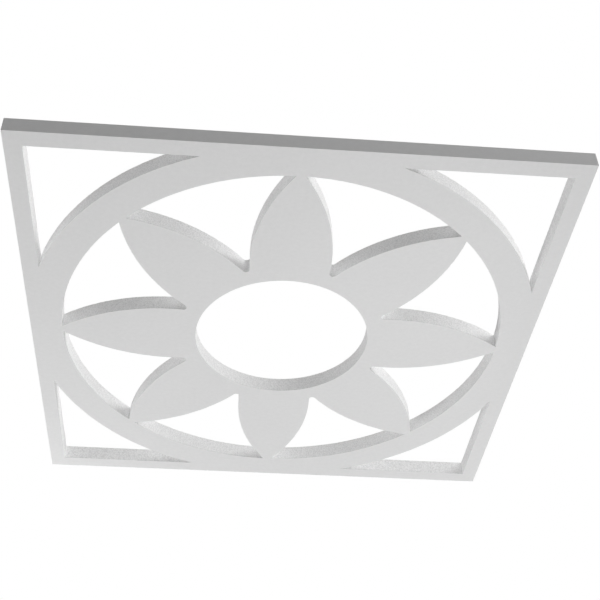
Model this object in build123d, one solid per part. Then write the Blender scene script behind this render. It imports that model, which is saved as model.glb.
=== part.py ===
from build123d import *
import math
import os

# Pierced square ceiling medallion, cut through one flat sheet: a square border, a round ring inside it,
# and a flower of petals whose points run into the ring, with a round hole through its hub.
# All lengths are millimetres.
#
# Frame: the origin is on the axis of the centre hole, in the flat back face that lies on the ceiling.
# +Z points up into the ceiling, so the face seen from the room is at -PANEL_THICKNESS.
# X and Y run along the sides of the border.

# The sheet, and the straight border left along its four sides
PANEL_SIDE = 812.8
PANEL_THICKNESS = 25.4
BORDER_WIDTH = 25.4

# The ring: its outer edge touches the middle of each side of the sheet, over the border
RING_WIDTH = 50.8

# The round hole through the hub
HOLE_DIAMETER = 282.0

# The flower: how many petals there are, and how far the point of each runs into the ring
PETAL_COUNT = 8
PETAL_BITE = 8.6

# The hub: its width from the hole to the places where the edges of neighbouring petals cross
HUB_WIDTH = 14.4

# The round end that the cutter leaves at the hub, in each gap between two petals
GAP_END_RADIUS = 5.5

# Sizes that follow from those above
BORDER_OPENING_SIDE = PANEL_SIDE - 2 * BORDER_WIDTH
RING_OUTER_RADIUS = PANEL_SIDE / 2
RING_INNER_RADIUS = RING_OUTER_RADIUS - RING_WIDTH
HOLE_RADIUS = HOLE_DIAMETER / 2
PETAL_LENGTH = RING_INNER_RADIUS + PETAL_BITE
PETAL_CROSSING_RADIUS = HOLE_RADIUS + HUB_WIDTH
PETAL_PITCH = 360 / PETAL_COUNT


def polar_point(radius, degrees_from_y):
    """A point at a radius from the centre of the panel, at an angle turned from +Y towards +X."""
    angle = math.radians(degrees_from_y)
    return (radius * math.sin(angle), radius * math.cos(angle))


def petal_plan():
    """One petal along +Y, with two curved edges that run from the centre of the panel to its point.

    Each edge is one arc through the place where it crosses the edge of the next petal.
    """
    centre = (0, 0)
    point = (0, PETAL_LENGTH)
    right_crossing = polar_point(PETAL_CROSSING_RADIUS, PETAL_PITCH / 2)
    left_crossing = polar_point(PETAL_CROSSING_RADIUS, -PETAL_PITCH / 2)
    right_edge = ThreePointArc(centre, right_crossing, point)
    left_edge = ThreePointArc(centre, left_crossing, point)
    return make_face(right_edge + left_edge)


def petal_gaps():
    """The openings between the petals and the ring, each with a round end at the hub."""
    petal = petal_plan()
    pierced = Circle(RING_INNER_RADIUS)
    for index in range(PETAL_COUNT):
        pierced -= Rot(0, 0, index * PETAL_PITCH) * petal
    gaps = []
    for gap in pierced.faces():
        hub_corner = gap.vertices().sort_by_distance((0, 0, 0))[0]
        gaps.append(gap.fillet_2d(GAP_END_RADIUS, [hub_corner]))
    return gaps


def corner_openings():
    """The openings in the four corners, between the border and the outer edge of the ring."""
    inside_border = Rectangle(BORDER_OPENING_SIDE, BORDER_OPENING_SIDE)
    return (inside_border - Circle(RING_OUTER_RADIUS)).faces()


def medallion():
    """The whole panel: the sheet with the centre hole and every opening cut straight through it."""
    plan = Rectangle(PANEL_SIDE, PANEL_SIDE) - Circle(HOLE_RADIUS)
    for opening in petal_gaps() + corner_openings():
        plan -= opening
    return extrude(plan, -PANEL_THICKNESS)


os.makedirs("parts", exist_ok=True)
panel = medallion()
panel.label = "medallion"
export_step(panel, "parts/medallion.step")
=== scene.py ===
"""Dresses the pierced ceiling medallion and sets it in a plain studio, seen from below as it hangs.

Lengths are metres in the part's own frame: the origin is on the axis of the centre hole, in the back
face. +Z points up into the ceiling, so the face seen from the room is the lowest.
"""

import logging
import math
from dataclasses import dataclass
from enum import Enum
from typing import Any

import bpy
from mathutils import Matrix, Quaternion, Vector


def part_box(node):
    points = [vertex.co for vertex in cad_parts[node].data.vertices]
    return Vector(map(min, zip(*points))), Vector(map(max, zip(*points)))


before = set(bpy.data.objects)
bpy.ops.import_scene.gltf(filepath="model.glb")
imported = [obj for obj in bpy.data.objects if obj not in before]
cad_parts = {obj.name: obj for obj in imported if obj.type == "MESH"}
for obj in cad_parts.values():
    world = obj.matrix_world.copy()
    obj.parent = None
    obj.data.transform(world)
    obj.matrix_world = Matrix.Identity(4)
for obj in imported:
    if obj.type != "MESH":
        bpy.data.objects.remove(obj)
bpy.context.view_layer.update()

log = logging.getLogger("medallion")

BOARD_NODE = "medallion"
BOARD_SLOT = "white_board"

# A surface is one of the two faces where its normal's Z, with no sign, is above this, and else a cut edge
FACE_NORMAL_Z = 0.5

# What a Noise Texture gives on average
NOISE_MIDDLE = 0.5

# A Mix node's sockets for colours, which have the same names as its sockets for numbers
MIX_START = 6
MIX_END = 7
MIX_RESULT = 2

Point = tuple[float, float, float]
Colour = tuple[float, float, float, float]
Settings = dict[str, Any]
Inputs = dict[str | int, Any]


class Ray(Enum):
    """A kind of ray that sees the plain studio background, as its Light Path output is called."""

    CAMERA = "Is Camera Ray"
    GLOSSY = "Is Glossy Ray"
    TRANSMISSION = "Is Transmission Ray"


class Wire:
    """One output of a shader node, which Python's operators turn into Math nodes."""

    def __init__(self, graph: "Graph", socket: bpy.types.NodeSocket) -> None:
        """Keeps the socket and the graph that new nodes go into."""
        self.graph = graph
        self.socket = socket

    def math(self, operation: str, *values: "Wire | float") -> "Wire":
        """Adds one Math node with these values in its sockets, in order, and gives its result."""
        return self.graph.add("ShaderNodeMath", {"operation": operation}, dict(enumerate(values)))

    def __add__(self, other: "Wire | float") -> "Wire":
        """This value plus the other."""
        return self.math("ADD", self, other)

    __radd__ = __add__

    def __sub__(self, other: "Wire | float") -> "Wire":
        """This value less the other."""
        return self.math("SUBTRACT", self, other)

    def __rsub__(self, other: "Wire | float") -> "Wire":
        """The other value less this one."""
        return self.math("SUBTRACT", other, self)

    def __mul__(self, other: "Wire | float") -> "Wire":
        """This value times the other."""
        return self.math("MULTIPLY", self, other)

    __rmul__ = __mul__

    def __gt__(self, other: "Wire | float") -> "Wire":
        """1 where this value is above the other, and 0 elsewhere."""
        return self.math("GREATER_THAN", self, other)

    def __abs__(self) -> "Wire":
        """This value without its sign."""
        return self.math("ABSOLUTE", self)

    def larger(self, other: "Wire | float") -> "Wire":
        """The larger of this value and the other."""
        return self.math("MAXIMUM", self, other)

    def ramp(self, start: float, end: float) -> "Wire":
        """Runs smoothly from 0 at start to 1 at end, and stays there.

        Args:
            start: the value at which the result leaves 0.
            end: the value at which the result reaches 1; it may lie below start.

        Returns:
            The smoothed result.
        """
        rising = start < end
        inputs = {
            "Value": self,
            "From Min": min(start, end),
            "From Max": max(start, end),
            "To Min": 0.0 if rising else 1.0,
            "To Max": 1.0 if rising else 0.0,
        }
        return self.graph.add("ShaderNodeMapRange", {"interpolation_type": "SMOOTHSTEP"}, inputs)

    def parts(self) -> tuple["Wire", "Wire", "Wire"]:
        """Takes this vector apart.

        Returns:
            Its X, Y and Z, as three values.
        """
        node = self.graph.node("ShaderNodeSeparateXYZ", {}, {"Vector": self})
        x, y, z = (Wire(self.graph, output) for output in node.outputs)
        return x, y, z

    def stretched(self, scale: Point) -> "Wire":
        """This vector with each of its three parts scaled by its own factor."""
        return self.graph.add("ShaderNodeVectorMath", {"operation": "MULTIPLY"}, {0: self, 1: scale})

    def length(self) -> "Wire":
        """The length of this vector."""
        return self.graph.add("ShaderNodeVectorMath", {"operation": "LENGTH"}, {0: self}, "Value")


class Graph:
    """The node tree of one material or of the world, which starts empty."""

    def __init__(self, owner: bpy.types.Material | bpy.types.World) -> None:
        """Turns the owner's nodes on and clears them.

        Args:
            owner: the material or world that the nodes belong to.
        """
        owner.use_nodes = True
        self.tree = owner.node_tree
        self.tree.nodes.clear()

    def node(self, kind: str, settings: Settings, inputs: Inputs) -> bpy.types.Node:
        """Adds one node of any type.

        Args:
            kind: the node's type.
            settings: the node's own properties, which are set first.
            inputs: a value, or a Wire to link, for each socket by its name or number.

        Returns:
            The new node.
        """
        made = self.tree.nodes.new(kind)
        for name, value in settings.items():
            setattr(made, name, value)
        for name, value in inputs.items():
            if isinstance(value, Wire):
                self.tree.links.new(value.socket, made.inputs[name])
            else:
                made.inputs[name].default_value = value
        return made

    def add(self, kind: str, settings: Settings, inputs: Inputs, output: str | int = 0) -> Wire:
        """Adds one node as node() does, and gives one of its outputs as a Wire."""
        return Wire(self, self.node(kind, settings, inputs).outputs[output])

    def noise(self, place: Wire, size: float, detail: float = 2.0) -> Wire:
        """Soft random blotches from about 0.3 to 0.7, which lie about size apart in the units of place."""
        inputs = {"Vector": place, "Scale": 1.0 / size, "Detail": detail}
        return self.add("ShaderNodeTexNoise", {}, inputs, "Fac")

    def blend(self, share: Wire, start: Colour, end: Colour) -> Wire:
        """A colour that goes from start, where share is 0, to end, where it is 1."""
        inputs = {"Factor": share, MIX_START: start, MIX_END: end}
        return self.add("ShaderNodeMix", {"data_type": "RGBA"}, inputs, MIX_RESULT)

    def finish(self, kind: str, surface: Wire) -> None:
        """Links the shader to the output node of the given type."""
        self.node(kind, {}, {"Surface": surface})


def grey(value: float) -> Colour:
    """A neutral opaque colour of that linear value."""
    return (value, value, value, 1.0)


@dataclass(frozen=True)
class BoardFinish:
    """White cellular board: smooth matte faces, sawn outer edges, and routed walls that show fine cells.

    Sizes, heights and depths are in metres, and tones are linear. The board's colour lies between its
    two tones: tone_share says how far up from the dark one, and each other share is the part of that
    way by which its own feature moves the colour. The shares of the cells and of the thin line along the
    lower face's edge paint shade into the colour.
    """

    name: str = BOARD_SLOT
    tone_dark: float = 0.55
    tone_light: float = 0.86
    tone_share: float = 0.775
    face_roughness: float = 0.62
    wall_roughness: float = 0.80
    drift_size: float = 0.19
    drift_share: float = 0.08
    mottle_size: float = 0.0065
    mottle_share: float = 0.18
    eggshell_size: float = 0.0011
    eggshell_height: float = 0.000012
    cell_size: float = 0.0009
    cell_rim: float = 0.45
    cell_core: float = 0.15
    # Share by which painted shade darkens the open cells
    cell_shade_share: float = 0.22
    cell_depth: float = 0.00009
    crowding_start: float = 0.42
    crowding_full: float = 0.62
    crowding_detail: float = 1.0
    cluster_size: float = 0.0020
    cluster_detail: float = 3.0
    cluster_share: float = 1.9
    feed_mark_size: Point = (0.0011, 0.0011, 0.03)
    feed_mark_depth: float = 0.00002
    arris_width: float = 0.0009
    # Share by which painted shade darkens the thin line along the lower face's edge
    arris_shade_share: float = 0.22

    def material(self, half_side: float, thickness: float) -> bpy.types.Material:
        """Builds the board's material.

        Args:
            half_side: half the side of the square board, which tells its sawn edges from its routed walls.
            thickness: the board's thickness, which places the arris of its lower face.

        Returns:
            The new material.
        """
        material = bpy.data.materials.new(self.name)
        graph = Graph(material)
        place = graph.add("ShaderNodeTexCoord", {}, {}, "Object")
        facing = graph.add("ShaderNodeTexCoord", {}, {}, "Normal")
        wall, routed, arris_shade = self.masks(place, facing, half_side, thickness)
        cells = self.cells(graph, place)
        share = self.light_share(graph, place, routed, arris_shade, cells)
        inputs = {
            "Base Color": graph.blend(share, grey(self.tone_dark), grey(self.tone_light)),
            "Roughness": self.face_roughness + wall * (self.wall_roughness - self.face_roughness),
            "Normal": self.relief(graph, place, routed, cells),
        }
        shader = graph.add("ShaderNodeBsdfPrincipled", {}, inputs)
        graph.finish("ShaderNodeOutputMaterial", shader)
        return material

    def masks(
        self, place: Wire, facing: Wire, half_side: float, thickness: float
    ) -> tuple[Wire, Wire, Wire]:
        """Tells the kinds of surface apart.

        Args:
            place: the point on the board.
            facing: the surface's normal.
            half_side: half the side of the square board.
            thickness: the board's thickness.

        Returns:
            1 on every cut edge, 1 on the routed walls inside the outline alone, and 1 on the thin line
            of a routed wall beside the face that the room sees, where shade is painted along the edge.
        """
        across, along, height = place.parts()
        _, _, upward = facing.parts()
        wall = 1 - (abs(upward) > FACE_NORMAL_Z)
        outline = abs(across).larger(abs(along)) > half_side - self.arris_width
        routed = wall * (1 - outline)
        # The painted shade line along the edge is full up to half its width above the lower face, and gone
        # at twice its width
        arris_shade = height.ramp(2 * self.arris_width - thickness, self.arris_width / 2 - thickness)
        return wall, routed, arris_shade * routed

    def cells(self, graph: Graph, place: Wire) -> Wire:
        """Scatters the open cells of the routed walls, in crowds with plain board between them.

        Args:
            graph: the material's graph.
            place: the point on the board.

        Returns:
            1 in the middle of a cell, and 0 between cells.
        """
        inputs = {"Vector": place, "Scale": 1.0 / self.cell_size}
        distance = graph.add("ShaderNodeTexVoronoi", {"feature": "F1"}, inputs, "Distance")
        crowding = graph.noise(place, self.cluster_size, self.crowding_detail)
        crowded = crowding.ramp(self.crowding_start, self.crowding_full)
        return distance.ramp(self.cell_rim, self.cell_core) * crowded

    def light_share(self, graph: Graph, place: Wire, routed: Wire, arris_shade: Wire, cells: Wire) -> Wire:
        """How light the board is: nearly even on the faces, random speckle on the routed walls, and
        painted shade in the cells and along the lower face's edge.

        Args:
            graph: the material's graph.
            place: the point on the board.
            routed: 1 on the routed walls.
            arris_shade: 1 on the thin line beside the lower face, where shade is painted.
            cells: 1 in the cells, which are darkened with painted shade.

        Returns:
            How far up from the dark tone to the light one.
        """
        drift = graph.noise(place, self.drift_size) - NOISE_MIDDLE
        mottle = graph.noise(place, self.mottle_size) - NOISE_MIDDLE
        clusters = graph.noise(place, self.cluster_size, self.cluster_detail) - NOISE_MIDDLE
        even = self.tone_share + self.drift_share * drift + self.mottle_share * mottle
        # Random cluster speckle, less painted shade in the cells' pits
        speckle_and_pit_shade = routed * (self.cluster_share * clusters - self.cell_shade_share * cells)
        # Painted shade: a thin darker line where the routed walls meet the lower face
        return even + speckle_and_pit_shade - self.arris_shade_share * arris_shade

    def relief(self, graph: Graph, place: Wire, routed: Wire, cells: Wire) -> Wire:
        """Bumps the surface, with eggshell all over, and cells and feed marks on the routed walls.

        Args:
            graph: the material's graph.
            place: the point on the board.
            routed: 1 on the routed walls.
            cells: 1 in the cells.

        Returns:
            The bumped normal.
        """
        eggshell = graph.noise(place, self.eggshell_size) * self.eggshell_height
        feed_place = place.stretched(tuple(1.0 / size for size in self.feed_mark_size))
        feed_marks = graph.noise(feed_place, 1.0) * self.feed_mark_depth
        height = eggshell + routed * (feed_marks - cells * self.cell_depth)
        return graph.add("ShaderNodeBump", {}, {"Strength": 1.0, "Distance": 1.0, "Height": height})


@dataclass
class Medallion:
    """The one piece of the part: the CAD board, which keeps its shape and gets its finish here."""

    board: bpy.types.Object
    finish: BoardFinish
    half_side: float
    thickness: float

    @classmethod
    def from_frame(cls) -> "Medallion":
        """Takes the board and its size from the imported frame."""
        low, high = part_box(BOARD_NODE)
        return cls(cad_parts[BOARD_NODE], BoardFinish(), half_side=high.x, thickness=high.z - low.z)

    def dress(self) -> bpy.types.Object:
        """Gives the board its finish in every one of its material slots.

        Returns:
            The dressed board.
        """
        material = self.finish.material(self.half_side, self.thickness)
        for slot in self.board.material_slots:
            slot.material = material
        return self.board


@dataclass(frozen=True)
class Softbox:
    """A square studio lamp, aimed at a point, which the camera doesn't see.

    A fill lamp casts no shadow, so that the narrow openings stay light right into their corners.
    """

    name: str
    place: Point
    side: float
    watts: float
    fill: bool = False
    aim: Point = (0.0, 0.0, 0.0)

    def hang(self) -> bpy.types.Object:
        """Builds the lamp and turns it to its aim point.

        Returns:
            The lamp.
        """
        light = bpy.data.lights.new(self.name, "AREA")
        light.shape = "SQUARE"
        light.size = self.side
        light.energy = self.watts
        light.use_shadow = not self.fill
        lamp = bpy.data.objects.new(self.name, light)
        lamp.location = self.place
        lamp.rotation_mode = "QUATERNION"
        lamp.rotation_quaternion = (Vector(self.aim) - Vector(self.place)).to_track_quat("-Z", "Y")
        lamp.visible_camera = False
        bpy.context.scene.collection.objects.link(lamp)
        return lamp


@dataclass(frozen=True)
class Floor:
    """The plain pale floor of the room below the medallion, which runs into the white further out.

    What the camera sees of it is shown_near close by and shown_far from fade_end outwards, on top of
    the light that the matte paint gives back.
    """

    depth: float = 2.4
    half_width: float = 14.0
    tone: float = 0.72
    roughness: float = 0.9
    shown_near: float = 0.50
    shown_far: float = 1.0
    fade_start: float = 1.5
    fade_end: float = 9.0

    def lay(self) -> bpy.types.Object:
        """Builds the floor and links it into the scene.

        Returns:
            The floor.
        """
        w = self.half_width
        z = -self.depth
        mesh = bpy.data.meshes.new("floor")
        mesh.from_pydata([(-w, -w, z), (w, -w, z), (w, w, z), (-w, w, z)], [], [(0, 1, 2, 3)])
        mesh.materials.append(self.material())
        floor = bpy.data.objects.new("floor", mesh)
        bpy.context.scene.collection.objects.link(floor)
        return floor

    def material(self) -> bpy.types.Material:
        """Mixes a matte pale paint that looks paler to the camera than the light it gives the object.

        Returns:
            The new material.
        """
        material = bpy.data.materials.new("pale_floor")
        graph = Graph(material)
        place = graph.add("ShaderNodeTexCoord", {}, {}, "Object").stretched((1.0, 1.0, 0.0))
        fade = place.length().ramp(self.fade_start, self.fade_end)
        shown = background_share(graph) * (self.shown_near + fade * (self.shown_far - self.shown_near))
        inputs = {
            "Base Color": grey(self.tone),
            "Roughness": self.roughness,
            "Emission Color": graph.blend(shown, grey(0.0), grey(1.0)),
            "Emission Strength": 1.0,
        }
        shader = graph.add("ShaderNodeBsdfPrincipled", {}, inputs)
        graph.finish("ShaderNodeOutputMaterial", shader)
        return material


@dataclass(frozen=True)
class Surroundings:
    """The soft light from all round, behind which the camera sees plain white."""

    glow: float = 0.06

    def build(self) -> None:
        """Makes the world: white for the rays that see it, and the plain glow for the rest."""
        world = bpy.data.worlds.new("studio")
        graph = Graph(world)
        strength = self.glow + background_share(graph) * (1.0 - self.glow)
        shader = graph.add("ShaderNodeBackground", {}, {"Color": grey(1.0), "Strength": strength})
        graph.finish("ShaderNodeOutputWorld", shader)
        bpy.context.scene.world = world


def background_share(graph: Graph) -> Wire:
    """Tells the rays that see the background from those that light the object.

    Args:
        graph: the graph of the floor's material or of the world.

    Returns:
        1 for the rays that see the background as it is meant to look, and 0 for the rest.
    """
    path = graph.node("ShaderNodeLightPath", {}, {})
    camera, glossy, transmission = (Wire(graph, path.outputs[ray.value]) for ray in Ray)
    return camera.larger(glossy).larger(transmission)


@dataclass(frozen=True)
class PhotoCamera:
    """The camera of the photograph, below the near side of the panel and looking up at its face.

    The photograph was trimmed to the object, so the lens's axis isn't at the picture's middle. The axis
    and focal length are in the photograph's own pixels, from its top left corner.
    """

    place: Point = (-0.1055, -1.3327, -1.1302)
    aim: Point = (-0.0061, -0.0743, -0.0254)
    picture_side: float = 600.0
    focal_length: float = 1056.5
    axis_across: float = 281.2
    axis_down: float = 309.1
    roll_degrees: float = -0.09
    sensor_width: float = 36.0

    def stand(self) -> bpy.types.Object:
        """Builds the camera, aims it and makes it the scene's own.

        Returns:
            The camera.
        """
        data = bpy.data.cameras.new("photo_camera")
        data.sensor_width = self.sensor_width
        data.lens = self.focal_length / self.picture_side * self.sensor_width
        data.shift_x = (self.picture_side / 2 - self.axis_across) / self.picture_side
        data.shift_y = (self.axis_down - self.picture_side / 2) / self.picture_side
        camera = bpy.data.objects.new("photo_camera", data)
        camera.location = self.place
        camera.rotation_mode = "QUATERNION"
        level = (Vector(self.aim) - Vector(self.place)).to_track_quat("-Z", "Y")
        roll = Quaternion((0.0, 0.0, 1.0), math.radians(self.roll_degrees))
        camera.rotation_quaternion = level @ roll
        bpy.context.scene.collection.objects.link(camera)
        bpy.context.scene.camera = camera
        return camera


@dataclass(frozen=True)
class Studio:
    """The room: floor, soft light from all round, and the lamps."""

    floor: Floor = Floor()
    surroundings: Surroundings = Surroundings()
    lamps: tuple[Softbox, ...] = (
        Softbox("right_overhead", (1.72, -0.48, 1.26), 1.2, 34.0),
        Softbox("near_overhead", (0.4, -1.4, 1.9), 1.2, 16.3),
        Softbox("overhead", (0.0, 0.0, 2.2), 1.4, 6.3),
        Softbox("far_underneath", (1.2, 2.6, -0.9), 1.4, 38.0),
        Softbox("left_underneath", (-2.4, 0.5, -1.2), 1.2, 22.0),
        Softbox("right_fill", (2.02, -0.51, -0.38), 0.9, 3.5, fill=True),
        Softbox("left_fill", (-2.17, -0.66, -0.25), 0.7, 11.1, fill=True),
        Softbox("far_fill", (-0.62, 0.88, -0.26), 0.7, 2.4, fill=True),
        Softbox("right_inner_fill", (0.4, -0.3, -0.95), 0.5, 2.2, fill=True),
        Softbox("middle_fill", (-0.06, -0.28, -0.94), 0.5, 0.5, fill=True),
    )

    def build(self) -> list[bpy.types.Object]:
        """Builds everything in the room.

        Returns:
            The floor and the lamps.
        """
        floor = self.floor.lay()
        self.surroundings.build()
        return [floor, *(lamp.hang() for lamp in self.lamps)]


def main() -> None:
    """Builds the camera, the medallion and the studio, in that order, and reports each piece."""
    logging.basicConfig(level=logging.INFO, format="%(name)s: %(message)s")
    bpy.context.scene.view_settings.view_transform = "Standard"
    camera = PhotoCamera().stand()
    log.info("%s: %.1f mm lens", camera.name, camera.data.lens)
    board = Medallion.from_frame().dress()
    log.info("%s: %.4f m square, in %s", board.name, board.dimensions.x, board.active_material.name)
    for thing in Studio().build():
        log.info("%s: %s in place", thing.name, thing.type.lower())


if __name__ == "__main__":
    main()
